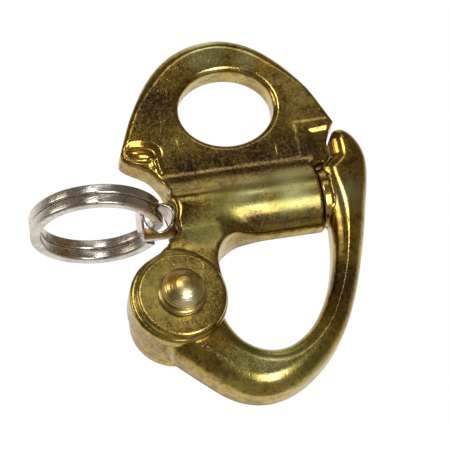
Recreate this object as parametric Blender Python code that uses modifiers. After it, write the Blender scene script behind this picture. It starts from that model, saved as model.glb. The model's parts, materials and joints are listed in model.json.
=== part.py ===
"""Fixed-eye snap shackle: a cast body with an eye, a hinged bow, and a sprung plunger with a pull ring.

Units below are millimetres; MM turns them into metres. The eye's centre is the origin, +X points
from the pull ring to the bow's tip, +Z up through the eye, and the thickness runs along Y.
"""
import math

import bmesh
import bpy
from mathutils import Matrix, Vector

MM = 0.001
WELD = 0.00002
NAME = "snap_shackle"

# eye plate
PLATE_HALF = 3.0
PLATE_ROUND = 1.1
EYE_HALF_WIDTH = 9.0
EYE_HALF_HEIGHT = 7.6
CROWN_TOP = 14.1

# barrel that houses the plunger
BARREL_Z = -19.9
BARREL_R = 5.8
BARREL_RIGHT = 13.75
BARREL_LEFT = -17.5
CHAMBER_R = 4.6
CHAMBER_END = 9.6

# fork and pivot
PIVOT = (-16.5, -38.0)
PIVOT_R = 3.0
EAR_R = 8.4
EAR_HALF = 8.0
FORK_GAP_HALF = 4.3
FORK_GAP_R = 9.1
FLANGE_R = 9.1
FLANGE_SHIFT = -0.4
FLANGE_FRONT = -6.9
NECK_HALF = 6.0
NECK_ROUND = 1.2
FILLET_R = 6.7

# bow
BOW_HALF = 4.0
BOW_ROUND = 2.2
ROOT_R = 8.4
BOSS_R = 5.5
BOSS_FACE = 14.05
SOCKET_R = 2.8
SOCKET_END = 19.4

# gap between neighbouring pieces
GAP = 0.3

# plunger
NOSE_R = 2.5
NOSE_TIP = 18.9
COLLAR_R = 4.3
COLLAR_LEFT = 7.0
SHAFT_R = 3.4
TAIL_END = -20.3
RING_HOLE_X = -16.9
RING_HOLE_R = 2.6

# spring behind the plunger's collar
SPRING_R = 3.95
SPRING_WIRE_R = 0.35
SPRING_COILS = 9
SPRING_POINTS_PER_COIL = 14

# bush that closes the barrel's mouth
BUSH_LEFT = -12.6
BUSH_RIGHT = -10.0

# split ring: two coils of flat-sided wire joined by a ramp
RING_MEAN_R = 11.5
RING_WIRE_WIDTH = 2.0
RING_WIRE_HEIGHT = 2.0
RING_WIRE_CORNER = 0.45
RING_PITCH = 2.2
RING_TILT = math.radians(6.8)
RING_LEAN = math.radians(-3.4)
RING_SET_BACK = 0.2
RING_END_ANGLE = math.radians(25)
RING_RAMP = math.radians(50)
RING_POINTS = 88

# pivot rivet
HEAD_R = 4.55
DOME_R = 4.2
DOME_START = 10.9
HEAD_TOP = 12.3
PEENED_R = 4.4

GOLD = (0.60, 0.44, 0.13, 1.0)
PALE_GOLD = (0.66, 0.50, 0.20, 1.0)
STEEL = (0.55, 0.53, 0.52, 1.0)
SPRING_STEEL = (0.42, 0.42, 0.44, 1.0)


def clear_scene():
    for obj in list(bpy.data.objects):
        bpy.data.objects.remove(obj, do_unlink=True)


def new_collection(name):
    collection = bpy.data.collections.new(name)
    bpy.context.scene.collection.children.link(collection)
    return collection


def new_material(name, colour, roughness):
    material = bpy.data.materials.new(name)
    material.use_nodes = True
    shader = material.node_tree.nodes["Principled BSDF"]
    shader.inputs["Base Color"].default_value = colour
    shader.inputs["Metallic"].default_value = 1.0
    shader.inputs["Roughness"].default_value = roughness
    return material


def place(obj, collection):
    for other in list(obj.users_collection):
        other.objects.unlink(obj)
    collection.objects.link(obj)
    return obj


def as_cutter(obj):
    obj.hide_render = True
    obj.display_type = "WIRE"
    return place(obj, cutters)


def as_part(obj, material):
    obj.data.materials.clear()
    obj.data.materials.append(material)
    return place(obj, parts)


def curve_to_mesh(obj):
    """Replace a curve object with its welded mesh."""
    mesh = bpy.data.meshes.new_from_object(obj.evaluated_get(bpy.context.evaluated_depsgraph_get()))
    shape = bmesh.new()
    shape.from_mesh(mesh)
    bmesh.ops.remove_doubles(shape, verts=shape.verts, dist=WELD)
    bmesh.ops.recalc_face_normals(shape, faces=shape.faces)
    shape.to_mesh(mesh)
    shape.free()
    solid = bpy.data.objects.new(obj.name + "_solid", mesh)
    solid.matrix_world = obj.matrix_world
    name = obj.name
    bpy.data.objects.remove(obj, do_unlink=True)
    solid.name = name
    bpy.context.scene.collection.objects.link(solid)
    return solid


def arc(centre, radius, start, end, count):
    """Points (x, z) along an arc, angles in degrees, ends included."""
    steps = [math.radians(start + (end - start) * k / (count - 1)) for k in range(count)]
    return [(centre[0] + radius * math.cos(a), centre[1] + radius * math.sin(a)) for a in steps]


def smooth(points, per_span=3):
    """A Catmull-Rom curve through the points, ends included."""
    padded = [points[0], *points, points[-1]]
    path = []
    for before, start, end, after in zip(padded, padded[1:], padded[2:], padded[3:]):
        for k in range(per_span):
            t = k / per_span
            path.append(tuple(
                0.5 * (2 * s + (e - b) * t + (2 * b - 5 * s + 4 * e - a) * t * t
                       + (3 * s - b - 3 * e + a) * t ** 3)
                for b, s, e, a in zip(before, start, end, after)
            ))
    return path + [points[-1]]


def slab(name, loops, half, edge_round=0.0, segments=1):
    """A flat shape drawn in X and Z and thickened along Y, with rounded edges."""
    curve = bpy.data.curves.new(name, "CURVE")
    curve.dimensions = "2D"
    curve.fill_mode = "BOTH"
    curve.extrude = (half - edge_round) * MM
    curve.bevel_depth = edge_round * MM
    curve.bevel_resolution = segments
    curve.offset = -edge_round * MM
    for loop in loops:
        spline = curve.splines.new("POLY")
        spline.points.add(len(loop) - 1)
        for point, (x, z) in zip(spline.points, loop):
            point.co = (x * MM, z * MM, 0, 1)
        spline.use_cyclic_u = True
    obj = bpy.data.objects.new(name, curve)
    obj.rotation_euler = (math.pi / 2, 0, 0)
    bpy.context.scene.collection.objects.link(obj)
    bpy.context.view_layer.update()
    return curve_to_mesh(obj)


def rod(name, axis, low, high, radius, at, segments=40):
    """A cylinder along X (at = y, z) or along Y (at = x, z), from low to high."""
    middle = (low + high) / 2
    if axis == "X":
        centre, turn = (middle, at[0], at[1]), (0, math.pi / 2, 0)
    else:
        centre, turn = (at[0], middle, at[1]), (math.pi / 2, 0, 0)
    bpy.ops.mesh.primitive_cylinder_add(
        vertices=segments, radius=radius * MM, depth=(high - low) * MM,
        location=Vector(centre) * MM, rotation=turn)
    obj = bpy.context.object
    obj.name = name
    return obj


def block(name, low, high):
    bpy.ops.mesh.primitive_cube_add(size=1, location=(Vector(low) + Vector(high)) / 2 * MM)
    obj = bpy.context.object
    obj.name = name
    obj.scale = (Vector(high) - Vector(low)) * MM
    return obj


def turned(name, profile, axis, at, steps=40):
    """A turned solid: profile of (radius, distance) from its far end to its near end.

    Along X the distance is x; along Y it is -y, so that a large distance is the front.
    """
    mesh = bpy.data.meshes.new(name)
    points = [(radius * MM, 0, along * MM) for radius, along in profile]
    mesh.from_pydata(points, [(k, k + 1) for k in range(len(points) - 1)], [])
    obj = bpy.data.objects.new(name, mesh)
    bpy.context.scene.collection.objects.link(obj)
    if axis == "X":
        obj.location = Vector((0, at[0], at[1])) * MM
        obj.rotation_euler = (0, math.pi / 2, 0)
    else:
        obj.location = Vector((at[0], 0, at[1])) * MM
        obj.rotation_euler = (math.pi / 2, 0, 0)
    screw = obj.modifiers.new("turn", "SCREW")
    screw.steps = steps
    screw.render_steps = steps
    screw.use_merge_vertices = True
    screw.merge_threshold = 0.00001
    return obj


def set_origin(obj, point):
    """Move an object's origin to a point and leave its shape where it is."""
    goal = Matrix.Translation(Vector(point) * MM)
    obj.data.transform(goal.inverted() @ obj.matrix_world)
    obj.matrix_world = goal


def combine(obj, other, operation):
    modifier = obj.modifiers.new(other.name, "BOOLEAN")
    modifier.operation = operation
    modifier.object = as_cutter(other)
    modifier.solver = "EXACT"


def bevel(obj, width, segments, angle=50):
    modifier = obj.modifiers.new("edges", "BEVEL")
    modifier.width = width * MM
    modifier.segments = segments
    modifier.limit_method = "ANGLE"
    modifier.angle_limit = math.radians(angle)


def path_curve(name, path, dimensions="3D"):
    curve = bpy.data.curves.new(name, "CURVE")
    curve.dimensions = dimensions
    spline = curve.splines.new("POLY")
    spline.points.add(len(path) - 1)
    for point, co in zip(spline.points, path):
        point.co = (*(Vector(co) * MM), 1)
    return curve


def round_wire(name, path, radius, matrix):
    curve = path_curve(name, path)
    curve.bevel_depth = radius * MM
    curve.bevel_resolution = 2
    curve.use_fill_caps = True
    obj = bpy.data.objects.new(name, curve)
    obj.matrix_world = matrix
    return obj


def flat_wire(name, path, width, height, corner, matrix):
    """A wire of chamfered rectangular section, kept upright along its path."""
    w, h = width / 2, height / 2
    section = [(w, h - corner, 0), (w - corner, h, 0), (corner - w, h, 0), (-w, h - corner, 0),
               (-w, corner - h, 0), (corner - w, -h, 0), (w - corner, -h, 0), (w, corner - h, 0)]
    profile = path_curve(name + "_section", section, "2D")
    profile.fill_mode = "NONE"
    profile.splines[0].use_cyclic_u = True
    section_obj = as_cutter(bpy.data.objects.new(name + "_section", profile))
    curve = path_curve(name, path)
    curve.twist_mode = "Z_UP"
    curve.bevel_mode = "OBJECT"
    curve.bevel_object = section_obj
    curve.use_fill_caps = True
    obj = bpy.data.objects.new(name, curve)
    obj.matrix_world = matrix
    bpy.context.scene.collection.objects.link(obj)
    bpy.context.view_layer.update()
    return curve_to_mesh(obj)


def plate_outline():
    """The fan round the eye, with both shoulders, down to the barrel's middle."""
    crown = smooth([
        (19.6, -5.6), (18.4, -2.9), (15.9, 2.1), (12.1, 7.5), (8.0, 11.3), (4.0, 13.3),
        (0.0, CROWN_TOP), (-4.9, 13.5), (-9.8, 11.2), (-13.8, 7.4), (-17.7, 1.4), (-19.8, -2.6),
        (-21.4, -6.3),
    ])
    left_notch = smooth([(-21.5, -7.4), (-20.4, -8.6), (-17.3, -10.6), (-14.8, -13.8)])
    return crown + left_notch + [(-13.5, BARREL_Z), (13.2, BARREL_Z), (13.4, -12.0), (14.4, -7.2),
                                 (18.6, -6.9)]


def neck_outline():
    """The web between the barrel and the fork, with its left flank tangent to the ears."""
    inner_fillet = arc((PIVOT[0] + EAR_R + FILLET_R, -32.4), FILLET_R, 180, 90, 7)
    tangent = arc(PIVOT, EAR_R, 132, 132, 2)[0]
    return [(-13.4, -18.5), (-14.3, -24.9), (-17.0, -27.3), tangent,
            (PIVOT[0] - 1, PIVOT[1]), (PIVOT[0] + EAR_R, PIVOT[1]), *inner_fillet,
            (-3.0, -22.0), (-4.5, -18.5)]


def make_body(material):
    eye = [(x * EYE_HALF_WIDTH, z * EYE_HALF_HEIGHT) for x, z in arc((0, 0), 1, 0, 351, 40)]
    body = slab("body", [plate_outline(), eye], PLATE_HALF, PLATE_ROUND)
    barrel = rod("barrel", "X", BARREL_LEFT, BARREL_RIGHT, BARREL_R, (0, BARREL_Z), 48)
    bevel(barrel, 0.6, 2)
    neck = slab("neck", [neck_outline()], NECK_HALF, NECK_ROUND)
    ears = rod("ears", "Y", -EAR_HALF, EAR_HALF, EAR_R, PIVOT, 48)
    bevel(ears, 0.7, 2)
    flange = rod("front_flange", "Y", FLANGE_FRONT, -FORK_GAP_HALF, FLANGE_R,
                 (PIVOT[0] + FLANGE_SHIFT, PIVOT[1]), 48)
    bevel(flange, 0.7, 2)
    web = slab("tip_web", [[(12.0, -5.0), (17.3, -5.0), (17.3, -12.4), (16.3, -13.7), (12.0, -13.7)]], 1.7)
    for piece in (barrel, neck, ears, flange, web):
        combine(body, piece, "UNION")

    mouth = smooth([(-14.8, -13.8), (-13.4, -17.0), (-12.95, -20.4), (-14.0, -24.3), (-17.1, -27.3)])
    scallop = slab("mouth_scallop", [[(-24, -13.8), *mouth, (-24, -27.3)]], 9)
    fork_gap = rod("fork_gap", "Y", -FORK_GAP_HALF, FORK_GAP_HALF, FORK_GAP_R, PIVOT, 48)
    pivot_hole = rod("pivot_hole", "Y", -12, 12, PIVOT_R + GAP, PIVOT, 32)
    chamber = rod("chamber", "X", -20, CHAMBER_END, CHAMBER_R, (0, BARREL_Z), 40)
    nose_hole = rod("nose_hole", "X", CHAMBER_END - 1, BARREL_RIGHT + 2, NOSE_R + GAP, (0, BARREL_Z), 32)
    for piece in (scallop, fork_gap, pivot_hole, chamber, nose_hole):
        combine(body, piece, "DIFFERENCE")
    return as_part(body, material)


def bow_outline():
    """The bow seen from the front: tip, outer sweep, root round the pivot, inner sweep."""
    outer = smooth([
        (18.6, -8.2), (20.0, -7.8), (21.6, -8.7), (22.9, -10.6), (23.7, -13.2), (23.7, -16.0),
        (23.1, -19.5), (22.1, -23.5), (20.9, -28.0), (19.7, -32.0), (18.2, -36.5), (16.2, -41.6),
        (13.7, -46.5), (10.6, -50.7), (7.0, -54.1), (3.4, -56.5), (-0.2, -57.8), (-3.8, -58.1),
        (-7.3, -57.3), (-10.4, -55.6), (-13.5, -52.9), (-19.0, -47.5),
    ], 2)
    root = arc(PIVOT, ROOT_R - BOW_ROUND, 225, -15, 14)
    inner = smooth([
        (-8.5, -41.6), (-7.6, -44.0), (-5.9, -46.6), (-3.1, -48.6), (0.2, -49.3), (3.5, -48.5),
        (6.8, -46.2), (9.4, -43.0), (11.6, -39.1), (13.0, -35.6), (13.9, -32.4), (14.5, -29.4),
        (14.9, -26.0),
    ], 2)
    return outer + root + inner + [(15.2, -15.0), (17.7, -13.0), (17.7, -9.8)]


def make_bow(material):
    bow = slab("bow", [bow_outline()], BOW_HALF, BOW_ROUND, 2)
    set_origin(bow, (PIVOT[0], 0, PIVOT[1]))
    boss = rod("tip_boss", "X", BOSS_FACE, 16.5, BOSS_R, (0, BARREL_Z), 40)
    bevel(boss, 0.4, 1)
    root = rod("root_disc", "Y", -BOW_HALF, BOW_HALF, ROOT_R, PIVOT, 48)
    bevel(root, 0.3, 1)
    for piece in (boss, root):
        combine(bow, piece, "UNION")
    socket = rod("nose_socket", "X", BOSS_FACE - 2, SOCKET_END, SOCKET_R, (0, BARREL_Z), 32)
    pivot_hole = rod("root_hole", "Y", -12, 12, PIVOT_R + GAP, PIVOT, 32)
    for piece in (socket, pivot_hole):
        combine(bow, piece, "DIFFERENCE")
    return as_part(bow, material)


def make_rivet(material):
    under = EAR_HALF + GAP
    rise = HEAD_TOP - DOME_START
    dome = [(DOME_R * math.cos(math.radians(a)), DOME_START + rise * math.sin(math.radians(a)))
            for a in range(75, -15, -15)]
    peened = [(PEENED_R, -under), (PEENED_R, -under - 0.5), (PEENED_R - 0.6, -under - 1.1),
              (PEENED_R / 2, -under - 1.5), (0, -under - 1.6)]
    profile = [(0, HEAD_TOP), *dome, (HEAD_R, under), (PIVOT_R, under), (PIVOT_R, -under), *peened]
    return as_part(turned("pivot_rivet", profile, "Y", PIVOT), material)


def make_plunger(material):
    profile = [(0, NOSE_TIP), (NOSE_R - 0.5, NOSE_TIP), (NOSE_R, NOSE_TIP - 0.5),
               (NOSE_R, CHAMBER_END - GAP), (COLLAR_R, CHAMBER_END - GAP), (COLLAR_R, COLLAR_LEFT),
               (SHAFT_R, COLLAR_LEFT), (SHAFT_R, TAIL_END + 0.5), (SHAFT_R - 0.5, TAIL_END),
               (0, TAIL_END)]
    plunger = turned("plunger", profile, "X", (0, BARREL_Z))
    ring_hole = rod("ring_hole", "Y", -6, 6, RING_HOLE_R, (RING_HOLE_X, BARREL_Z), 32)
    ramp = block("nose_ramp", (NOSE_TIP - 3.0, -4, BARREL_Z - 6), (NOSE_TIP + 3.0, 4, BARREL_Z - 2.6))
    ramp.rotation_euler = (0, math.radians(-40), 0)
    ramp.location = Vector((NOSE_TIP + 0.9, 0, BARREL_Z - 2.6)) * MM
    for piece in (ring_hole, ramp):
        combine(plunger, piece, "DIFFERENCE")
    return as_part(plunger, material)


def make_spring(material):
    """Closed end coils with an open run between them."""
    start, end = BUSH_RIGHT + GAP + SPRING_WIRE_R, COLLAR_LEFT - GAP - SPRING_WIRE_R
    closed = 0.85
    open_pitch = (end - start - 2 * closed) / (SPRING_COILS - 2)
    path = []
    for k in range(SPRING_COILS * SPRING_POINTS_PER_COIL + 1):
        turns = k / SPRING_POINTS_PER_COIL
        open_turns = min(max(turns - 1, 0), SPRING_COILS - 2)
        x = start + closed * (turns - open_turns) + open_pitch * open_turns
        angle = 2 * math.pi * turns
        path.append((x, SPRING_R * math.cos(angle), SPRING_R * math.sin(angle)))
    spring = round_wire("plunger_spring", path, SPRING_WIRE_R, Matrix.Translation((0, 0, BARREL_Z * MM)))
    return as_part(spring, material)


def make_bush(material):
    outer, inner = CHAMBER_R - GAP, SHAFT_R + 0.25
    profile = [(inner, BUSH_RIGHT), (outer, BUSH_RIGHT), (outer, BUSH_LEFT), (inner, BUSH_LEFT),
               (inner, BUSH_RIGHT)]
    return as_part(turned("mouth_bush", profile, "X", (0, BARREL_Z)), material)


def make_ring(material):
    """Local origin on the hole in the plunger's tail; the ring reaches out along -X."""
    half, turn = RING_PITCH / 2, 2 * math.pi
    sweep = 2 * turn - RING_RAMP
    path = []
    for k in range(RING_POINTS):
        travel = sweep * k / (RING_POINTS - 1)
        rise = min(max((travel - (turn - RING_RAMP)) / RING_RAMP, 0), 1)
        height = -half + RING_PITCH * rise * rise * (3 - 2 * rise)
        angle = RING_END_ANGLE + travel
        path.append((RING_MEAN_R * (math.cos(angle) - 1) + RING_SET_BACK, RING_MEAN_R * math.sin(angle),
                     height))
    hinge = Matrix.Translation(Vector((RING_HOLE_X, 0, BARREL_Z)) * MM)
    lie = Matrix.Rotation(RING_TILT, 4, "Y") @ Matrix.Rotation(RING_LEAN, 4, "X")
    ring = flat_wire("pull_ring", path, RING_WIRE_WIDTH, RING_WIRE_HEIGHT, RING_WIRE_CORNER, hinge @ lie)
    return as_part(ring, material)


clear_scene()
parts = new_collection(NAME)
cutters = new_collection("cutters")
gold = new_material("gold_plated_cast", GOLD, 0.32)
rivet_gold = new_material("gold_plated_rivet", PALE_GOLD, 0.25)
bush_brass = new_material("bush_brass", PALE_GOLD, 0.35)
steel = new_material("stainless_steel", STEEL, 0.22)
spring_steel = new_material("spring_steel", SPRING_STEEL, 0.3)

make_body(gold)
make_bow(gold.copy())
make_rivet(rivet_gold)
make_plunger(steel)
make_spring(spring_steel)
make_bush(bush_brass)
make_ring(steel.copy())

for part in parts.objects:
    if part.type == "MESH":
        part.data.shade_smooth()
        part.data.set_sharp_from_angle(angle=math.radians(35))
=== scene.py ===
"""Looks of a gold-plated snap shackle with a steel split ring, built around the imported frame.

The two castings and the plunger are distance fields, so that their fillets and rounded edges
are real, and each is meshed where its field is zero. The rivet and the bush are turned
profiles, and the spring and the ring are swept wires. Lengths are in millimetres up to the
studio, which is in metres.
"""

import json
import math

import bpy
import numpy as np
from mathutils import Matrix, Vector


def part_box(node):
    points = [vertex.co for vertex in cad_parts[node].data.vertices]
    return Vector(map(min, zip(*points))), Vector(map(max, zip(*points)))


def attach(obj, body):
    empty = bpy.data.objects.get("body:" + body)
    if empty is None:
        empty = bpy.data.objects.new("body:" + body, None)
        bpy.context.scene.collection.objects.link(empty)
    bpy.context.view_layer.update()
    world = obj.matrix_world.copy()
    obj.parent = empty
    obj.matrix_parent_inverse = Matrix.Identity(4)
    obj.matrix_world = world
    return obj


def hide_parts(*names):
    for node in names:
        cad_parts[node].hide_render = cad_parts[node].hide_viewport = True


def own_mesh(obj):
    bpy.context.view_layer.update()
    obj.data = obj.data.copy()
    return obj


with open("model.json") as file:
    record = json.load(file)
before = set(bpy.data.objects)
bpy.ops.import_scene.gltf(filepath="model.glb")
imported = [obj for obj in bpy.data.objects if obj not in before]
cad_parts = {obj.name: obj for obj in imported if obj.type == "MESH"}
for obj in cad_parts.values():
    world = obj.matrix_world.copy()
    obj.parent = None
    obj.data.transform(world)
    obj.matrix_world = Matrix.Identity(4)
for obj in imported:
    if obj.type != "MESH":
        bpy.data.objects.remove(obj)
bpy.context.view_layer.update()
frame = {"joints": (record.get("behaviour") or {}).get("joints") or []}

MM = 0.001


def in_mm(point):
    return tuple(value / MM for value in point)


# places that the frame gives
hinges = {joint["name"]: in_mm(joint["pos_m"]) for joint in frame["joints"] if "pos_m" in joint}
PIVOT_X, _, PIVOT_Z = hinges["bow_hinge"]
RING_HOLE_X, _, BARREL_Z = hinges["ring_swing"]
body_low, body_high = map(in_mm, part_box("body"))
bow_low, bow_high = map(in_mm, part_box("bow"))
pin_low, pin_high = map(in_mm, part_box("plunger"))
rivet_low, _ = map(in_mm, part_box("pivot_rivet"))
bush_low, bush_high = map(in_mm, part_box("mouth_bush"))
spring_low, spring_high = map(in_mm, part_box("plunger_spring"))

CLEARANCE = 0.3
BORE_HALF_LENGTH = 12       # of the pivot's bore, out past both ears

# body casting
PLATE_HALF = 3.0
PLATE_EDGE = 1.0            # rounding of the plate's outer edge, larger towards the crown
CROWN_EDGE_EXTRA = 1.3
CROWN_SPAN = (1, 9)
EYE_EDGE = 1.15
EYE_EDGE_SPAN = (-3.6, -1.2)
EYE_HALF_WIDTH = 9.0
EYE_HALF_HEIGHT = 7.6
BARREL_R = 5.8
BARREL_LEFT = -17.5
BARREL_RIGHT = 13.75
CHAMBER_R = 4.6
CHAMBER_LEFT = -24
CHAMBER_END = 9.6
TIP_WEB_HALF = 2.65
EAR_R = 8.4
EAR_HALF = body_high[1]
FORK_GAP_HALF = 4.3
FORK_GAP_R = 9.1
FLANGE_FRONT = -6.9
FLANGE_SHIFT = -0.4

# neck: thicker down towards the ears, thinner to the right, where it is a strip under the barrel
NECK_HALF = 5.2
NECK_GROWTH = 1.6
NECK_GROWTH_SPAN = (20.5, 30.5)
NECK_THINNING = 4.2
NECK_THINNING_SPAN = (-7, 3)
NECK_FILLET_R = 6.7
NECK_FILLET_Z = -32.4
NECK_LEFT_DEGREES = 132     # where its left flank meets the ears, round the pivot

# mouth of the barrel: a raised lip that runs out above and below the barrel's axis
MOUTH_OUTSIDE = -30
MOUTH_HALF = 9
LIP_DEPTH = 1.6
LIP_FLAT_HALF = 3
LIP_FALL = 3
LIP_END_SPAN = (2.0, 4.4)

# worn detail at the left notch: (centre, radii, turn in degrees) and (start, end, radius)
NOTCH_HOLLOW = ((-17.6, -PLATE_HALF - 0.2, -6.7), (3.6, 1.0, 2.1), -12)
NOTCH_PILLOW = ((-17.9, -PLATE_HALF + 0.5, -7.0), (2.5, 0.9, 1.25), -12)
NOTCH_RIBS = [
    ((-14.9, -PLATE_HALF + 0.1, -8.6), (-14.6, -PLATE_HALF + 0.3, -11.0), 0.55),
    ((-16.1, -PLATE_HALF + 0.3, -8.0), (-15.8, -PLATE_HALF + 0.3, -9.8), 0.35),
]

# bow casting: its edge is rounder along the arm and roundest at the bottom
BOW_HALF = bow_high[1]
BOW_EDGE = 2.6
ARM_EDGE_EXTRA = 1.2
ARM_SPAN = (15, 24)
BOTTOM_EDGE_EXTRA = 0.2
BOTTOM_SPAN = (38, 50)
BOW_ROOT_R = EAR_R - 2.2
BOSS_R = 5.5
BOSS_FACE = 14.05
BOSS_END = 15.9
STEM_R = 4.4
STEM_END = 18.5
SOCKET_R = 2.8
SOCKET_END = 19.4

# rivet: the head is a dome, rippled by the tool that spun it, on a stepped foot
PIVOT_R = 3.0
DOME_RAISE = 0.65
DOME_R = 4.0
DOME_FOOT = 1.9
DOME_STEPS = 30
RIPPLE = 0.055
RIPPLE_TURN = 1.9
RIPPLE_FREE_STEPS = 10

# plunger
NOSE_R = 2.5
NOSE_FLAT = 0.9
NOSE_BEVEL = math.radians(40)
NOSE_BEVEL_RELIEF = 0.1
COLLAR_R = 4.3
COLLAR_LEFT = 7.0
SHAFT_R = 3.4
RING_HOLE_R = 2.6

# bush and spring
BUSH_CHAMFER = 0.25
SPRING_WIRE_R = 0.35
SPRING_COILS = 9
SPRING_CLOSED_PITCH = 0.85
SPRING_STEPS_PER_COIL = 36

# split ring
RING_MEAN_R = 11.5
RING_WIRE = 2.0
RING_CORNER = 0.42
RING_GROOVE = 0.07
RING_PITCH = 2.2
RING_TILT = math.radians(6.8)
RING_LEAN = math.radians(-3.4)
RING_SET_BACK = 0.2
RING_END_ANGLE = math.radians(25)
RING_RAMP = math.radians(50)
RING_STEPS = 420

FIELD_STEP = 0.22


# ---------------------------------------------------------------- outlines

def smooth_line(points, per_span=3):
    """A Catmull-Rom curve through the points, ends included."""
    padded = [points[0], *points, points[-1]]
    path = []
    for before, start, end, after in zip(padded, padded[1:], padded[2:], padded[3:]):
        for k in range(per_span):
            t = k / per_span
            path.append(tuple(
                0.5 * (2 * s + (e - b) * t + (2 * b - 5 * s + 4 * e - a) * t * t
                       + (3 * s - b - 3 * e + a) * t ** 3)
                for b, s, e, a in zip(before, start, end, after)
            ))
    return path + [points[-1]]


def on_circle(centre, radius, degrees):
    """The point (x, z) of a circle at an angle from +X towards +Z."""
    angle = math.radians(degrees)
    return centre[0] + radius * math.cos(angle), centre[1] + radius * math.sin(angle)


def arc(centre, radius, start, end, count):
    """Points (x, z) along an arc, angles in degrees, ends included."""
    return [on_circle(centre, radius, start + (end - start) * k / (count - 1))
            for k in range(count)]


CROWN_LINE = smooth_line([
    (19.6, -5.6), (18.4, -2.9), (16.0, 2.2), (12.3, 7.8), (8.1, 11.7), (4.0, 13.8),
    (0.0, body_high[2] + 0.5), (-4.9, 14.0), (-9.9, 11.6), (-14.0, 7.6), (-17.8, 1.5),
    (-19.8, -2.6), (-21.4, -6.3),
])
NOTCH_LINE = smooth_line([(-21.5, -7.4), (-20.4, -8.6), (-17.3, -10.6), (-14.8, -13.8)])
NOTCH_FOOT = NOTCH_LINE[6:-1]
PLATE = CROWN_LINE + NOTCH_LINE + [
    (-13.5, BARREL_Z), (13.3, BARREL_Z), (13.5, -14.0), (15.1, -13.6), (14.6, -7.2), (18.6, -6.9)]
NECK = [
    (-13.4, -17.5), (-17.1, -24.0), (-17.1, -27.3),
    on_circle((PIVOT_X, PIVOT_Z), EAR_R, NECK_LEFT_DEGREES), (PIVOT_X - 1, PIVOT_Z),
    (PIVOT_X + EAR_R, PIVOT_Z),
    *arc((PIVOT_X + EAR_R + NECK_FILLET_R, NECK_FILLET_Z), NECK_FILLET_R, 180, 90, 12),
    (BARREL_RIGHT - 0.1, -25.6), (BARREL_RIGHT - 0.1, -21.0), (-3.0, -20.5), (-4.5, -17.5),
]
MOUTH = [
    (MOUTH_OUTSIDE, -10.6), *NOTCH_FOOT,
    *smooth_line([(-14.8, -13.8), (-13.4, -17.0), (-12.95, -20.4), (-14.0, -24.3), (-17.1, -27.3)]),
    (MOUTH_OUTSIDE, -27.3),
]
TIP_WEB = [
    (12.0, -5.0), (18.5, -5.0), (18.3, -7.6), (17.4, -9.7), (17.4, -12.4), (16.3, -13.7),
    (12.0, -13.7),
]
BOW_OUTER = smooth_line([
    (18.6, -8.2), (20.0, -7.8), (21.6, -8.7), (22.9, -10.6), (23.7, -13.2), (23.7, -16.0),
    (23.1, -19.5), (22.1, -23.5), (20.9, -28.0), (19.7, -32.0), (18.2, -36.5), (16.2, -41.6),
    (13.7, -46.5), (10.6, -50.7), (7.0, -54.1), (3.4, -56.5), (-0.2, -57.8), (-3.8, bow_low[2]),
    (-7.3, -57.3), (-10.4, -55.6), (-13.5, -52.9), (-19.0, -47.5),
])
BOW_INNER = smooth_line([
    (-8.5, -41.6), (-7.6, -44.0), (-5.9, -46.6), (-3.1, -48.6), (0.2, -49.3), (3.5, -48.5),
    (6.8, -46.2), (9.4, -43.0), (11.6, -39.1), (13.0, -35.6), (13.9, -32.4), (14.5, -29.4),
    (14.9, -26.0),
])
BOW = (BOW_OUTER + arc((PIVOT_X, PIVOT_Z), BOW_ROOT_R, 225, -15, 20) + BOW_INNER
       + [(15.2, -15.0), (17.7, -13.0), (17.7, -9.8)])


# ---------------------------------------------------------------- distance fields

def outline_distance(loop, x, z):
    """Signed distance in the X-Z plane to a closed outline, negative inside."""
    x, z = np.broadcast_arrays(x, z)
    nearest = np.full(x.shape, 1e9, np.float32)
    inside = np.zeros(x.shape, bool)
    for (ax, az), (bx, bz) in zip(loop, loop[1:] + loop[:1]):
        ex, ez = bx - ax, bz - az
        wx, wz = x - ax, z - az
        share = np.clip((wx * ex + wz * ez) / (ex * ex + ez * ez), 0, 1)
        nearest = np.minimum(nearest, (wx - ex * share) ** 2 + (wz - ez * share) ** 2)
        if az != bz:
            inside ^= ((az > z) != (bz > z)) & (wx < ex * wz / ez)
    return np.where(inside, -1, 1) * np.sqrt(nearest)


def ellipse_distance(x, z, half_width, half_height):
    """About the signed distance to an ellipse round the origin, negative inside."""
    reach = np.hypot(x / half_width, z / half_height) + 1e-6
    slope = np.hypot(x / half_width ** 2, z / half_height ** 2) / reach + 1e-6
    return (reach - 1) / slope


def rounded(across, along, edge):
    """The field of a shape bounded by two distances, with its outer edges rounded."""
    across, along = across + edge, along + edge
    return (np.minimum(np.maximum(across, along), 0)
            + np.hypot(np.maximum(across, 0), np.maximum(along, 0)) - edge)


def thick(flat, y, half, edge):
    return rounded(flat, np.abs(y) - half, edge)


def rod_x(x, y, z, low, high, radius, edge=0.0):
    """A rod on the barrel's axis."""
    return rounded(np.hypot(y, z - BARREL_Z) - radius, np.maximum(low - x, x - high), edge)


def rod_y(x, y, z, low, high, radius, edge=0.0, shift=0.0):
    """A disc round the pivot, shift along X."""
    across = np.hypot(x - PIVOT_X - shift, z - PIVOT_Z) - radius
    return rounded(across, np.maximum(low - y, y - high), edge)


def ellipsoid(x, y, z, centre, radii, turn=0.0):
    """About the distance to an ellipsoid, turned by degrees about Y."""
    c, s = math.cos(math.radians(turn)), math.sin(math.radians(turn))
    u, v, w = x - centre[0], y - centre[1], z - centre[2]
    u, w = c * u + s * w, c * w - s * u
    reach = np.sqrt((u / radii[0]) ** 2 + (v / radii[1]) ** 2 + (w / radii[2]) ** 2) + 1e-6
    slope = np.sqrt((u / radii[0] ** 2) ** 2 + (v / radii[1] ** 2) ** 2
                    + (w / radii[2] ** 2) ** 2) + 1e-6
    return reach * (reach - 1) / slope


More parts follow.
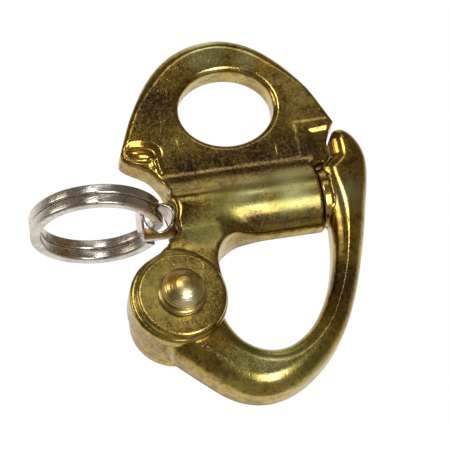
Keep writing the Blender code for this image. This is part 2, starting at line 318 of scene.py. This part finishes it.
def capsule(x, y, z, start, end, radius):
    """The distance to a round-ended rib between two points."""
    start, along = np.array(start), np.array(end) - np.array(start)
    length = float(along @ along)
    u, v, w = x - start[0], y - start[1], z - start[2]
    share = np.clip((u * along[0] + v * along[1] + w * along[2]) / length, 0, 1)
    return np.sqrt((u - share * along[0]) ** 2 + (v - share * along[1]) ** 2
                   + (w - share * along[2]) ** 2) - radius


def join(a, b, blend):
    """The union of two fields with a fillet where they meet."""
    overlap = np.maximum(blend - np.abs(a - b), 0) / blend
    return np.minimum(a, b) - overlap * overlap * blend / 4


def cut(a, b, blend):
    """a without b, with a rounded edge where they meet."""
    return -join(-a, b, blend)


def ease(value, start, end):
    """0 before start, 1 after end, smooth between them."""
    share = np.clip((value - start) / (end - start), 0, 1)
    return share * share * (3 - 2 * share)


def body_field(x, y, z):
    eye = ellipse_distance(x, z, EYE_HALF_WIDTH, EYE_HALF_HEIGHT)
    outer_edge = PLATE_EDGE + CROWN_EDGE_EXTRA * ease(z, *CROWN_SPAN)
    edge = outer_edge + (EYE_EDGE - outer_edge) * ease(-eye, *EYE_EDGE_SPAN)
    plate = thick(np.maximum(outline_distance(PLATE, x, z), -eye), y, PLATE_HALF, edge)
    barrel = rod_x(x, y, z, BARREL_LEFT, BARREL_RIGHT, BARREL_R, edge=0.45)
    solid = join(plate, barrel, blend=3.2)

    web = thick(outline_distance(TIP_WEB, x, z), y, TIP_WEB_HALF, edge=0.4)
    solid = join(solid, web, blend=0.8)

    neck_half = (NECK_HALF + NECK_GROWTH * ease(-z, *NECK_GROWTH_SPAN)
                 - NECK_THINNING * ease(x, *NECK_THINNING_SPAN))
    neck = thick(outline_distance(NECK, x, z), y, neck_half, edge=0.9)
    solid = join(solid, neck, blend=1.8)

    flange = rod_y(x, y, z, FLANGE_FRONT, 0, FORK_GAP_R, edge=0.6, shift=FLANGE_SHIFT)
    solid = join(solid, flange, blend=0.8)
    front_ear = rod_y(x, y, z, -EAR_HALF, 0, EAR_R, edge=0.75)
    rear_ear = rod_y(x, y, z, 0, EAR_HALF, EAR_R, edge=1.6)
    solid = join(join(solid, front_ear, blend=0.5), rear_ear, blend=0.8)

    solid = cut(solid, ellipsoid(x, y, z, *NOTCH_HOLLOW), blend=0.5)
    solid = join(solid, ellipsoid(x, y, z, *NOTCH_PILLOW), blend=0.5)
    for rib in NOTCH_RIBS:
        solid = join(solid, capsule(x, y, z, *rib), blend=0.5)

    lip = LIP_DEPTH * np.sqrt(1 - np.clip((np.abs(y) - LIP_FLAT_HALF) / LIP_FALL, 0, 1) ** 2)
    lip = lip * (1 - ease(np.abs(z - BARREL_Z), *LIP_END_SPAN))
    mouth = np.maximum(outline_distance(MOUTH, x, z) + lip, np.abs(y) - MOUTH_HALF)
    gap = rod_y(x, y, z, -FORK_GAP_HALF, FORK_GAP_HALF, FORK_GAP_R)
    bore = rod_y(x, y, z, -BORE_HALF_LENGTH, BORE_HALF_LENGTH, PIVOT_R + CLEARANCE)
    chamber = rod_x(x, y, z, CHAMBER_LEFT, CHAMBER_END, CHAMBER_R)
    nose_hole = rod_x(x, y, z, CHAMBER_END - 1, BARREL_RIGHT + 3, NOSE_R + CLEARANCE)
    for hole, blend in ((mouth, 0.5), (gap, 0.3), (bore, 0.2), (chamber, 0.5), (nose_hole, 0.3)):
        solid = cut(solid, hole, blend)
    return solid


def bow_field(x, y, z):
    edge = (BOW_EDGE + ARM_EDGE_EXTRA * ease(-z, *ARM_SPAN)
            + BOTTOM_EDGE_EXTRA * ease(-z, *BOTTOM_SPAN))
    bar = thick(outline_distance(BOW, x, z), y, BOW_HALF, edge)
    boss = rod_x(x, y, z, BOSS_FACE, BOSS_END, BOSS_R, edge=0.4)
    stem = rod_x(x, y, z, BOSS_FACE + 0.5, STEM_END, STEM_R, edge=0.5)
    root = rod_y(x, y, z, -BOW_HALF, BOW_HALF, EAR_R, edge=0.35)
    solid = join(bar, join(boss, stem, blend=0.4), blend=0.5)
    solid = join(solid, root, blend=0.5)
    socket = rod_x(x, y, z, BOSS_FACE - 2, SOCKET_END, SOCKET_R)
    bore = rod_y(x, y, z, -BORE_HALF_LENGTH, BORE_HALF_LENGTH, PIVOT_R + CLEARANCE)
    return cut(cut(solid, socket, blend=0.3), bore, blend=0.2)


def plunger_field(x, y, z):
    tail = rod_x(x, y, z, pin_low[0], COLLAR_LEFT + 1, SHAFT_R, edge=0.5)
    collar = rod_x(x, y, z, COLLAR_LEFT, CHAMBER_END - CLEARANCE, COLLAR_R, edge=0.2)
    nose = rod_x(x, y, z, COLLAR_LEFT, pin_high[0], NOSE_R, edge=0.4)
    solid = np.minimum(np.minimum(tail, collar), nose)
    bevel = ((x - pin_high[0] + NOSE_FLAT) * math.sin(NOSE_BEVEL)
             - (z - BARREL_Z + NOSE_R) * math.cos(NOSE_BEVEL))
    solid = cut(solid, -bevel - NOSE_BEVEL_RELIEF, blend=0.3)
    hole = np.hypot(x - RING_HOLE_X, z - BARREL_Z) - RING_HOLE_R
    return cut(solid, hole, blend=0.5)


# ---------------------------------------------------------------- meshes

def new_piece(name, points, faces, material):
    """A smooth-shaded object from points in millimetres."""
    mesh = bpy.data.meshes.new(name)
    mesh.from_pydata((np.asarray(points, float) * MM).tolist(), [], [tuple(f) for f in faces])
    mesh.validate()
    mesh.update()
    mesh.shade_smooth()
    mesh.materials.append(material)
    obj = bpy.data.objects.new(name, mesh)
    bpy.context.scene.collection.objects.link(obj)
    return obj


def settle(points, field, rounds=2, probe=0.04, reach=0.15, least_steepness=0.3):
    """Points moved along the field's slope onto its surface, by no more than reach a round."""
    for _ in range(rounds):
        x, y, z = points.T
        value = field(x, y, z)
        slope = np.stack([
            field(x + probe, y, z) - field(x - probe, y, z),
            field(x, y + probe, z) - field(x, y - probe, z),
            field(x, y, z + probe) - field(x, y, z - probe),
        ], axis=1) / (2 * probe)
        steepness = np.maximum((slope ** 2).sum(axis=1), least_steepness)
        points = points - np.clip((value / steepness)[:, None] * slope, -reach, reach)
    return points


def skin(name, field, low, high, material):
    """A mesh of the surface where the field is zero, with a point in each cell that it crosses."""
    step = FIELD_STEP
    axes = [np.arange(a - 2 * step, b + 3 * step, step) for a, b in zip(low, high)]
    grids = np.meshgrid(*axes, indexing="ij", sparse=True)
    values = field(*grids).astype(np.float32)
    cells = tuple(n - 1 for n in values.shape)
    position = np.zeros((*cells, 3), np.float32)
    crossings = np.zeros(cells, np.float32)
    found = []
    for axis in range(3):
        order = [axis, (axis + 1) % 3, (axis + 2) % 3]
        turned = values.transpose(order)
        start, end = turned[:-1], turned[1:]
        crosses = (start < 0) != (end < 0)
        share = np.where(crosses, start / np.where(crosses, start - end, 1), 0)
        found.append((order, crosses, start < 0))
        place, count = position.transpose(order + [3]), crossings.transpose(order)
        for j in range(2):
            for k in range(2):
                edges = (slice(None), slice(j, j + count.shape[1]), slice(k, k + count.shape[2]))
                count += crosses[edges]
                place[..., order[0]] += share[edges]
                place[..., order[1]] += j * crosses[edges]
                place[..., order[2]] += k * crosses[edges]
    used = crossings > 0
    number = np.full(cells, -1)
    number[used] = np.arange(used.sum())
    points = (np.argwhere(used) + position[used] / crossings[used][:, None]) * step
    points = settle(points + [axis[0] for axis in axes], field)
    quads = []
    for order, crosses, inside_first in found:
        named = number.transpose(order)
        i, j, k = np.nonzero(crosses[:, 1:-1, 1:-1])
        around = np.stack([named[i, j, k], named[i, j + 1, k], named[i, j + 1, k + 1],
                           named[i, j, k + 1]], axis=1)
        outward = inside_first[i, j + 1, k + 1]
        quads.append(np.where(outward[:, None], around, around[:, ::-1]))
    return new_piece(name, points, np.concatenate(quads).tolist(), material)


def lathe(name, profile, material, place, closed=False, steps=120):
    """A turned piece from a profile of (radius, distance along the axis), put in place by a matrix.

    An open profile starts and ends on the axis; a closed one is a loop clear of it.
    """
    rings = profile if closed else profile[1:-1]
    points = []
    for radius, along in rings:
        for k in range(steps):
            angle = 2 * math.pi * k / steps
            points.append((radius * math.cos(angle), radius * math.sin(angle), along))
    faces = []
    count = len(rings)
    for r in range(count if closed else count - 1):
        here, there = r * steps, (r + 1) % count * steps
        for k in range(steps):
            n = (k + 1) % steps
            faces.append((here + k, here + n, there + n, there + k))
    if not closed:
        first, last = len(points), len(points) + 1
        points += [(0, 0, profile[0][1]), (0, 0, profile[-1][1])]
        end = (count - 1) * steps
        for k in range(steps):
            n = (k + 1) % steps
            faces.append((first, n, k))
            faces.append((last, end + k, end + n))
    moved = [place @ Vector(p) for p in points]
    return new_piece(name, moved, faces, material)


def sweep(name, path, section, upright, material, place):
    """A wire of a given section along an open path, its section kept upright, with flat ends."""
    path = np.array(path)
    along = np.gradient(path, axis=0)
    along /= np.linalg.norm(along, axis=1)[:, None]
    side = np.cross(along, upright)
    side /= np.linalg.norm(side, axis=1)[:, None]
    rise = np.cross(side, along)
    section = np.array(section)
    points = (path[:, None] + side[:, None] * section[None, :, :1]
              + rise[:, None] * section[None, :, 1:]).reshape(-1, 3)
    size, count = len(section), len(path)
    faces = []
    for r in range(count - 1):
        for k in range(size):
            n = (k + 1) % size
            faces.append((r * size + k, r * size + n, (r + 1) * size + n, (r + 1) * size + k))
    faces.append(tuple(range(size - 1, -1, -1)))
    faces.append(tuple((count - 1) * size + k for k in range(size)))
    moved = [place @ Vector(p) for p in points]
    piece = new_piece(name, moved, faces, material)
    piece.data.set_sharp_from_angle(angle=math.radians(50))
    return piece


# ---------------------------------------------------------------- materials

# the plating's linear colours from its dark patches to its bright ones, and what lies on it
PLATING = [(0.28, (0.17, 0.095, 0.02)), (0.44, (0.34, 0.22, 0.045)),
           (0.58, (0.50, 0.36, 0.085)), (0.75, (0.62, 0.48, 0.15))]
PLATING_MOTTLE = (0.11, 0.06, 0.015)
PLATING_GRAIN = (0.62, 0.48, 0.17)
PLATING_PIT = (0.07, 0.04, 0.015)
# each kind of stain and of painted light: its colour and how much of the plating it hides.
# Purple is a tint and painted shade, pale is a painted highlight and sheen, amber a painted
# highlight.
STAINS_AND_PAINTED_LIGHT = {
    "purple_and_painted_shade": ((0.085, 0.042, 0.035), 0.92),
    "green": ((0.27, 0.30, 0.085), 0.85),
    "pale_painted_highlight": ((0.66, 0.68, 0.33), 0.85),
    "amber_painted_highlight": ((0.66, 0.36, 0.04), 0.7),
}
TURNED_GOLD = [(0.3, (0.40, 0.27, 0.08)), (0.5, (0.60, 0.46, 0.18)), (0.7, (0.76, 0.64, 0.33))]
STEEL = [(0.3, (0.46, 0.41, 0.39)), (0.5, (0.64, 0.59, 0.57)), (0.72, (0.80, 0.76, 0.74))]
STEEL_SPOT = (0.12, 0.095, 0.085)


class Nodes:
    """Short calls that add nodes to a tree."""

    def __init__(self, tree):
        self.tree = tree

    def add(self, kind, inputs=(), **settings):
        """A new node. inputs are (socket, value or output) pairs."""
        made = self.tree.nodes.new("ShaderNode" + kind)
        for name, value in settings.items():
            setattr(made, name, value)
        for socket, value in inputs:
            self.link(made.inputs[socket], value)
        return made

    def link(self, socket, value):
        if isinstance(value, bpy.types.NodeSocket):
            self.tree.links.new(value, socket)
        else:
            socket.default_value = value

    def spread(self, value, low, high, to_low=0.0, to_high=1.0, **settings):
        """A value mapped from one range to another, clamped."""
        made = self.add("MapRange", [("Value", value), ("From Min", low), ("From Max", high),
                                     ("To Min", to_low), ("To Max", to_high)], **settings)
        return made.outputs[0]

    def math(self, operation, first, second):
        return self.add("Math", [(0, first), (1, second)], operation=operation).outputs[0]

    def ramp(self, value, stops):
        made = self.add("ValToRGB", [("Fac", value)])
        elements = made.color_ramp.elements
        while len(elements) < len(stops):
            elements.new(0.5)
        for element, (position, colour) in zip(elements, stops):
            element.position = position
            element.color = (*colour, 1)
        return made.outputs["Color"]


class Paint(Nodes):
    """A Principled material and the nodes behind it."""

    def __init__(self, name):
        self.material = bpy.data.materials.new(name)
        self.material.use_nodes = True
        super().__init__(self.material.node_tree)
        self.shader = self.tree.nodes["Principled BSDF"]
        self.coords = self.add("TexCoord").outputs["Object"]

    def noise(self, scale, detail=3, rough=0.55, stretch=None, turn=(0, 0, 0)):
        """Noise through the piece, with about scale patches to a metre."""
        vector = self.coords
        if stretch:
            vector = self.add("Mapping", [("Vector", vector), ("Scale", stretch),
                                          ("Rotation", turn)]).outputs[0]
        return self.add("TexNoise", [("Vector", vector), ("Scale", scale), ("Detail", detail),
                                     ("Roughness", rough)]).outputs["Fac"]

    def mix(self, share, colour, other):
        """The colour, turned into a plain other one by a share."""
        made = self.add("Mix", data_type="RGBA")
        self.link(made.inputs[0], share)
        self.link(made.inputs[6], colour)
        self.link(made.inputs[7], (*other, 1))
        return made.outputs[2]

    def near(self, point, reach):
        """1 at a point of the frame, in millimetres, falling to 0 at reach."""
        offset = self.add("VectorMath", [(0, self.coords), (1, tuple(v * MM for v in point))],
                          operation="DISTANCE").outputs["Value"]
        return self.spread(offset, 0, reach * MM, 1, 0)

    def bump(self, height, depth_mm, under=None):
        made = self.add("Bump", [("Height", height), ("Distance", depth_mm * MM)])
        if under is not None:
            self.link(made.inputs["Normal"], under)
        return made.outputs["Normal"]

    def scratches(self, turn, scale):
        """Sparse thin lines in one direction."""
        lines = self.noise(scale, 1, 0.5, (1, 1, 0.07), turn)
        patches = self.noise(260, 1)
        return self.math("MULTIPLY", self.spread(lines, 0.70, 0.76), self.spread(patches, 0.5, 0.6))

    def metal(self, colour, rough, normal):
        """The finished material, bare metal all over."""
        for socket, value in (("Base Color", colour), ("Metallic", 1.0), ("Roughness", rough),
                              ("Normal", normal)):
            self.link(self.shader.inputs[socket], value)
        return self.material


def plated_gold(name, stains_and_light, green_roughness):
    """Polished casting under an uneven yellow to olive plating, pitted and scratched.

    For each kind of stain and painted light, (point, reach) pairs in millimetres; green ones are
    duller.
    """
    paint = Paint(name)
    tone = paint.noise(95, 4, 0.6)
    colour = paint.ramp(tone, PLATING)
    mottle = paint.noise(620, 4, 0.65)
    colour = paint.mix(paint.spread(mottle, 0.47, 0.63, 0, 0.75), colour, PLATING_MOTTLE)

    patchy = paint.spread(tone, 0.3, 0.6, 1.4, 0.7)
    dull = 0.0
    for kind, (stain_and_light_colour, most) in STAINS_AND_PAINTED_LIGHT.items():
        for point, reach in stains_and_light.get(kind, ()):
            share = paint.math("MULTIPLY", paint.near(point, reach), patchy)
            colour = paint.mix(paint.spread(share, 0.15, 0.8, 0, most), colour, stain_and_light_colour)
            if kind == "green":
                dull = paint.math("MAXIMUM", dull, share)

    grain = paint.noise(1900, 3, 0.6)
    colour = paint.mix(paint.spread(grain, 0.4, 0.7, 0, 0.5), colour, PLATING_GRAIN)
    cells = paint.add("TexVoronoi", [("Vector", paint.coords), ("Scale", 1500),
                                     ("Randomness", 1.0)])
    unpitted = paint.spread(paint.noise(330, 2), 0.46, 0.54)
    pit = paint.math("MAXIMUM", paint.spread(cells.outputs["Distance"], 0.08, 0.3), unpitted)
    pit_share = paint.math("MULTIPLY", paint.spread(pit, 0, 1, 1, 0), 0.6)
    colour = paint.mix(pit_share, colour, PLATING_PIT)

    rough = paint.math("ADD", paint.spread(tone, 0.3, 0.7, 0.11, 0.19),
                       paint.spread(grain, 0.3, 0.7, 0, 0.08))
    rough = paint.math("ADD", rough, paint.math("MULTIPLY", dull, green_roughness))
    marks = paint.math("ADD", paint.scratches((0.3, 0.5, 0.2), 900),
                       paint.scratches((1.2, -0.9, 0.7), 700))
    normal = paint.bump(paint.noise(150, 2), 0.10)
    for height, depth_mm in ((grain, 0.009), (pit, 0.014), (marks, 0.02)):
        normal = paint.bump(height, depth_mm, normal)
    return paint.metal(colour, rough, normal)


def turned_gold(name, axis_scale, stains_and_light=()):
    """Plated and lathe-turned, with fine rings round its axis.

    Painted light and stains as (point, reach, share at which it is full, colour).
    """
    paint = Paint(name)
    tone = paint.noise(240, 3)
    colour = paint.ramp(tone, TURNED_GOLD)
    for point, reach, full, stain_and_light_colour in stains_and_light:
        share = paint.spread(paint.near(point, reach), 0.1, full, 0, 0.85)
        colour = paint.mix(share, colour, stain_and_light_colour)
    rings = paint.noise(1500, 2, 0.5, axis_scale)
    grain = paint.noise(1600, 2)
    normal = paint.bump(grain, 0.012, paint.bump(rings, 0.02))
    return paint.metal(colour, paint.spread(tone, 0.3, 0.7, 0.22, 0.34), normal)


def stainless(name, line_scale=(1, 1, 1), brightness=1.0):
    """Drawn or turned stainless steel, slightly warm, with fine lines and a few dark spots."""
    paint = Paint(name)
    tone = paint.noise(210, 4, 0.6)
    colour = paint.ramp(tone, [(place, tuple(brightness * v for v in steel))
                               for place, steel in STEEL])
    grain = paint.noise(1700, 3, 0.6)
    spots = paint.spread(paint.noise(900, 2), 0.62, 0.72, 0, 0.7)
    colour = paint.mix(spots, colour, STEEL_SPOT)
    lines = paint.noise(2400, 2, 0.5, line_scale)
    normal = paint.bump(grain, 0.01, paint.bump(lines, 0.02, paint.bump(paint.noise(300, 2), 0.06)))
    return paint.metal(colour, paint.spread(grain, 0.3, 0.75, 0.16, 0.30), normal)


# ---------------------------------------------------------------- pieces

BARREL_PLACE = Matrix.Translation((0, 0, BARREL_Z)) @ Matrix.Rotation(math.pi / 2, 4, "Y")
PIVOT_PLACE = Matrix.Translation((PIVOT_X, 0, PIVOT_Z)) @ Matrix.Rotation(math.pi / 2, 4, "X")


def own(piece, body, node):
    """The piece rides on a body and stands in for a CAD node, which is hidden."""
    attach(piece, body)
    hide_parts(node)


def make_body():
    # pale is a painted sheen on the barrel and a painted highlight on the crown; amber painted
    # highlights
    # purple is also painted shade in the crease under the eye and low on the barrel
    stains_and_light = {
        "purple_and_painted_shade": [((6, -3, -11), 9), ((12, -3, -11), 6), ((-3, -3, -11), 7), ((-10, -3, -12), 6),
                   ((-13, -3, 2), 6), ((-11, -6, -27), 4), ((1, -5, -23.5), 4.5),
                   ((6, -5, -23.5), 4.5), ((11, -5, -23.5), 4.5), ((15, -5, -23.5), 3.5)],
        "green": [((8, -6, -20), 9), ((-4, -6, -20), 7), ((-9, -6, -26), 6),
                  ((PIVOT_X - 2, -EAR_HALF, PIVOT_Z), 9.5)],
        "pale_painted_highlight": [((9, -6, -18.5), 6), ((1, -6, -18.5), 5), ((-2, -3, 11.5), 6), ((6, -3, 9.5), 4)],
        "amber_painted_highlight": [((-18, -3, -6), 4), ((9, -3, 8), 4)],
    }
    gold = plated_gold("plated_body", stains_and_light, green_roughness=0.26)
    piece = skin("body_casting", body_field, body_low, body_high, gold)
    own(piece, "shackle_body", "body")


def make_bow():
    # pale is painted highlight down the arm and on the bottom, amber painted highlight at the tip
    # and low on the left
    stains_and_light = {
        "purple_and_painted_shade": [((14, -4, -38), 6)],
        "green": [((4, -4, -53), 10), ((-7, -4, -52), 8)],
        "pale_painted_highlight": [((19, -4, -22), 5), ((-2, -4, -53), 5)],
        "amber_painted_highlight": [((19, -4, -13), 3.5), ((-12, -4, -46), 4)],
    }
    gold = plated_gold("plated_bow", stains_and_light, green_roughness=0.12)
    piece = skin("bow_casting", bow_field, bow_low, bow_high, gold)
    own(piece, "bow", "bow")


def make_rivet():
    """A rippled dome on a stepped foot in front, the shank, and a peened end at the back."""
    under = EAR_HALF + CLEARANCE
    top = -rivet_low[1] + DOME_RAISE
    shoulder = under + DOME_FOOT
    dome = [(0, top)]
    for k in range(1, DOME_STEPS + 1):
        angle = math.radians(90 - 90 * k / DOME_STEPS)
        ripple = RIPPLE * math.sin(k * RIPPLE_TURN) * min(k / RIPPLE_FREE_STEPS, 1)
        dome.append((DOME_R * math.cos(angle) + ripple,
                     shoulder + (top - shoulder) * math.sin(angle)))
    foot = [(4.03, 1.6), (4.06, 1.3), (4.02, 1.14), (3.94, 1.05), (4.06, 0.96), (4.32, 0.86),
            (4.45, 0.7), (4.5, 0.2), (4.45, 0)]
    peened = [(4.3, 0), (4.4, 0.15), (4.38, 0.5), (4.1, 0.85), (3.5, 1.15), (2.6, 1.38),
              (1.4, 1.54), (0, 1.6)]
    profile = [*dome, *((radius, under + along) for radius, along in foot),
               (PIVOT_R, under), (PIVOT_R, -under),
               *((radius, -under - along) for radius, along in peened)]
    # painted light on the head: an amber highlight at the upper left, a pale highlight low down and
    # painted shade at the top
    stains_and_light = [((PIVOT_X - 1.7, -top + 0.6, PIVOT_Z + 1.2), 2.8, 0.8, (0.80, 0.46, 0.07)),
              ((PIVOT_X + 0.3, -top + 1.6, PIVOT_Z - 3.0), 3.6, 0.7, (0.95, 0.87, 0.62)),
              ((PIVOT_X + 0.2, -top + 2.0, PIVOT_Z + 3.6), 3.2, 0.7, (0.13, 0.07, 0.03))]
    gold = turned_gold("plated_rivet", (1, 0.2, 1), stains_and_light)
    piece = lathe("rivet_turned", profile[::-1], gold, PIVOT_PLACE)
    piece.data.set_sharp_from_angle(angle=math.radians(60))
    own(piece, "shackle_body", "pivot_rivet")


def make_plunger():
    steel = stainless("plunger_turned_steel", (0.15, 1, 1))
    piece = skin("plunger_pin", plunger_field, pin_low, pin_high, steel)
    own(piece, "plunger", "plunger")


def make_bush():
    inner, outer = SHAFT_R + 0.25, bush_high[1]
    low, high = bush_low[0], bush_high[0]
    profile = [(inner, low + BUSH_CHAMFER), (inner + BUSH_CHAMFER, low),
               (outer - BUSH_CHAMFER, low), (outer, low + BUSH_CHAMFER),
               (outer, high - BUSH_CHAMFER), (outer - BUSH_CHAMFER, high),
               (inner + BUSH_CHAMFER, high), (inner, high - BUSH_CHAMFER)]
    gold = turned_gold("bush_turned", (0.2, 1, 1))
    piece = lathe("bush_turned_ring", profile[::-1], gold, BARREL_PLACE, closed=True)
    piece.data.set_sharp_from_angle(angle=math.radians(40))
    own(piece, "shackle_body", "mouth_bush")


def make_spring():
    """Closed end coils with an open run between them."""
    coil_r = spring_high[1] - SPRING_WIRE_R
    start, end = spring_low[0] + SPRING_WIRE_R, spring_high[0] - SPRING_WIRE_R
    pitch = (end - start - 2 * SPRING_CLOSED_PITCH) / (SPRING_COILS - 2)
    path = []
    for k in range(SPRING_COILS * SPRING_STEPS_PER_COIL + 1):
        turns = k / SPRING_STEPS_PER_COIL
        open_turns = min(max(turns - 1, 0), SPRING_COILS - 2)
        x = start + SPRING_CLOSED_PITCH * (turns - open_turns) + pitch * open_turns
        angle = 2 * math.pi * turns
        path.append((coil_r * math.cos(angle), coil_r * math.sin(angle), x))
    section = [(SPRING_WIRE_R * math.cos(a), SPRING_WIRE_R * math.sin(a))
               for a in np.linspace(0, 2 * math.pi, 13)[:-1]]
    # the same steel made darker: painted shade for the spring inside the barrel
    steel = stainless("spring_wire_steel", brightness=0.8)
    piece = sweep("spring_coil", path, section, (0, 0, 1), steel, BARREL_PLACE)
    own(piece, "shackle_body", "plunger_spring")
    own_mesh(piece)


def ring_section():
    """The wire's section: flat sides with round corners, and a shallow groove along each side."""
    corner, side = RING_WIRE / 2 - RING_CORNER, RING_WIRE / 2 - RING_GROOVE
    section = []
    for sx, sz, first, groove in ((1, 1, 0, (0, side)), (-1, 1, 90, (-side, 0)),
                                  (-1, -1, 180, (0, -side)), (1, -1, 270, (side, 0))):
        section += arc((sx * corner, sz * corner), RING_CORNER, first, first + 90, 5)
        section.append(groove)
    return section


def make_ring():
    """Two coils of flat-sided wire joined by a ramp, through the hole in the plunger's tail."""
    half, turn = RING_PITCH / 2, 2 * math.pi
    sweep_angle = 2 * turn - RING_RAMP
    path = []
    for k in range(RING_STEPS):
        travel = sweep_angle * k / (RING_STEPS - 1)
        rise = min(max((travel - (turn - RING_RAMP)) / RING_RAMP, 0), 1)
        height = -half + RING_PITCH * rise * rise * (3 - 2 * rise)
        angle = RING_END_ANGLE + travel
        path.append((RING_MEAN_R * (math.cos(angle) - 1) + RING_SET_BACK,
                     RING_MEAN_R * math.sin(angle), height))
    place = (Matrix.Translation((RING_HOLE_X, 0, BARREL_Z)) @ Matrix.Rotation(RING_TILT, 4, "Y")
             @ Matrix.Rotation(RING_LEAN, 4, "X"))
    steel = stainless("ring_drawn_steel", (0.3, 0.3, 1))
    piece = sweep("split_ring_wire", path, ring_section(), (0, 0, 1), steel, place)
    own(piece, "pull_ring", "pull_ring")


# ---------------------------------------------------------------- studio

CAMERA_AZIMUTH = math.radians(-11)
CAMERA_ELEVATION = math.radians(-22)
CAMERA_ROLL = math.radians(12.2)
CAMERA_TARGET = Vector((-4.35, 0.0, -22.37)) * MM
CAMERA_DISTANCE = 1.0
FIELD_WIDTH = 0.0838        # metres across the picture, at the target
SENSOR = 36.0
FLOOR_Z = -1.5
FLOOR_RADIUS = 1.6

# what the metal reflects: a dim warm room with brighter parts, by the direction's Y or Z
ROOM_DARK = (0.16, 0.135, 0.095)
ROOM_BRIGHT = (1.0, 0.96, 0.88)
BRIGHT_BEHIND = (0.05, 0.75)        # Y, from dark to bright
DIM_STRAIGHT_BEHIND = (0.93, 0.99)  # Y, from that brightness down to DIM_SHARE of it
DIM_SHARE = 0.35
BRIGHT_BELOW = (-0.98, -0.6)        # Z, from BELOW_SHARE to dark
BELOW_SHARE = 0.8

WHITE = (1.0, 1.0, 1.0)
WARM_WHITE = (1.0, 0.98, 0.94)
AMBER_WHITE = (1.0, 0.93, 0.80)
# name, direction from the object, distance and size in metres, power in watts, colour
SOFTBOXES = [
    ("near_camera_softbox", (0.18, -0.88, -0.44), 0.8, (0.30, 0.48), 2.6, WARM_WHITE),
    ("front_strip", (-0.16, -0.92, 0.36), 0.8, (0.19, 0.22), 0.85, WARM_WHITE),
    ("upper_front_softbox", (0.17, -0.76, 0.62), 0.8, (0.35, 0.14), 0.22, WARM_WHITE),
    ("left_softbox", (-0.92, -0.32, 0.33), 0.8, (0.38, 0.30), 1.2, AMBER_WHITE),
    ("top_softbox", (0.1, 0.1, 1.0), 1.2, (0.8, 0.8), 1.2, WHITE),
]


def make_camera():
    """In front of the object and below it, a little to its left, with the picture rolled."""
    back = Vector((math.sin(CAMERA_AZIMUTH) * math.cos(CAMERA_ELEVATION),
                   -math.cos(CAMERA_AZIMUTH) * math.cos(CAMERA_ELEVATION),
                   math.sin(CAMERA_ELEVATION)))
    right = Vector((math.cos(CAMERA_AZIMUTH), math.sin(CAMERA_AZIMUTH), 0))
    up = back.cross(right)
    rolled_right = right * math.cos(CAMERA_ROLL) - up * math.sin(CAMERA_ROLL)
    rolled_up = right * math.sin(CAMERA_ROLL) + up * math.cos(CAMERA_ROLL)
    data = bpy.data.cameras.new("camera")
    data.sensor_width = SENSOR
    data.lens = SENSOR * CAMERA_DISTANCE / FIELD_WIDTH
    data.clip_end = 20
    camera = bpy.data.objects.new("camera", data)
    axes = Matrix((rolled_right, rolled_up, back)).transposed().to_4x4()
    camera.matrix_world = Matrix.Translation(CAMERA_TARGET + back * CAMERA_DISTANCE) @ axes
    bpy.context.scene.collection.objects.link(camera)
    bpy.context.scene.camera = camera


def softbox(name, direction, distance, size, power, colour):
    """A rectangular light that looks at the object from a direction."""
    direction = Vector(direction).normalized()
    data = bpy.data.lights.new(name, "AREA")
    data.shape = "RECTANGLE"
    data.size, data.size_y = size
    data.energy = power
    data.color = colour
    light = bpy.data.objects.new(name, data)
    light.location = CAMERA_TARGET + direction * distance
    light.rotation_mode = "QUATERNION"
    light.rotation_quaternion = direction.to_track_quat("Z", "Y")
    light.visible_camera = False
    bpy.context.scene.collection.objects.link(light)


def make_world():
    """White to the camera; to all else a room bright round the back and below, dim elsewhere."""
    world = bpy.data.worlds.new("studio")
    world.use_nodes = True
    world.node_tree.nodes.clear()
    nodes = Nodes(world.node_tree)
    smooth = {"interpolation_type": "SMOOTHSTEP"}
    direction = nodes.add("SeparateXYZ", [(0, nodes.add("TexCoord").outputs["Generated"])]).outputs
    behind = nodes.spread(direction["Y"], *BRIGHT_BEHIND, **smooth)
    straight_behind = nodes.spread(direction["Y"], *DIM_STRAIGHT_BEHIND, 1, DIM_SHARE, **smooth)
    below = nodes.spread(direction["Z"], *BRIGHT_BELOW, BELOW_SHARE, 0, **smooth)
    light = nodes.math("MAXIMUM", nodes.math("MULTIPLY", behind, straight_behind), below)
    colour = nodes.ramp(light, [(0, ROOM_DARK), (1, ROOM_BRIGHT)])
    room = nodes.add("Background", [("Color", colour)])
    backdrop = nodes.add("Background", [("Color", (*WHITE, 1)), ("Strength", 1.0)])
    mix = nodes.add("MixShader", [(0, nodes.add("LightPath").outputs["Is Camera Ray"]),
                                  (1, room.outputs[0]), (2, backdrop.outputs[0])])
    nodes.add("OutputWorld", [("Surface", mix.outputs[0])])
    bpy.context.scene.world = world


def make_floor():
    paint = Paint("pale_floor")
    colour = paint.ramp(paint.noise(3, 2), [(0.3, (0.86, 0.86, 0.85)), (0.7, (0.9, 0.9, 0.89))])
    paint.link(paint.shader.inputs["Base Color"], colour)
    paint.shader.inputs["Roughness"].default_value = 0.9
    bpy.ops.mesh.primitive_circle_add(vertices=96, radius=FLOOR_RADIUS, fill_type="NGON",
                                      location=(0, 0, FLOOR_Z))
    floor = bpy.context.object
    floor.name = "floor"
    floor.data.materials.append(paint.material)


make_body()
make_bow()
make_rivet()
make_plunger()
make_bush()
make_spring()
make_ring()

make_camera()
make_world()
make_floor()
for box in SOFTBOXES:
    softbox(*box)
bpy.context.scene.view_settings.view_transform = "Standard"
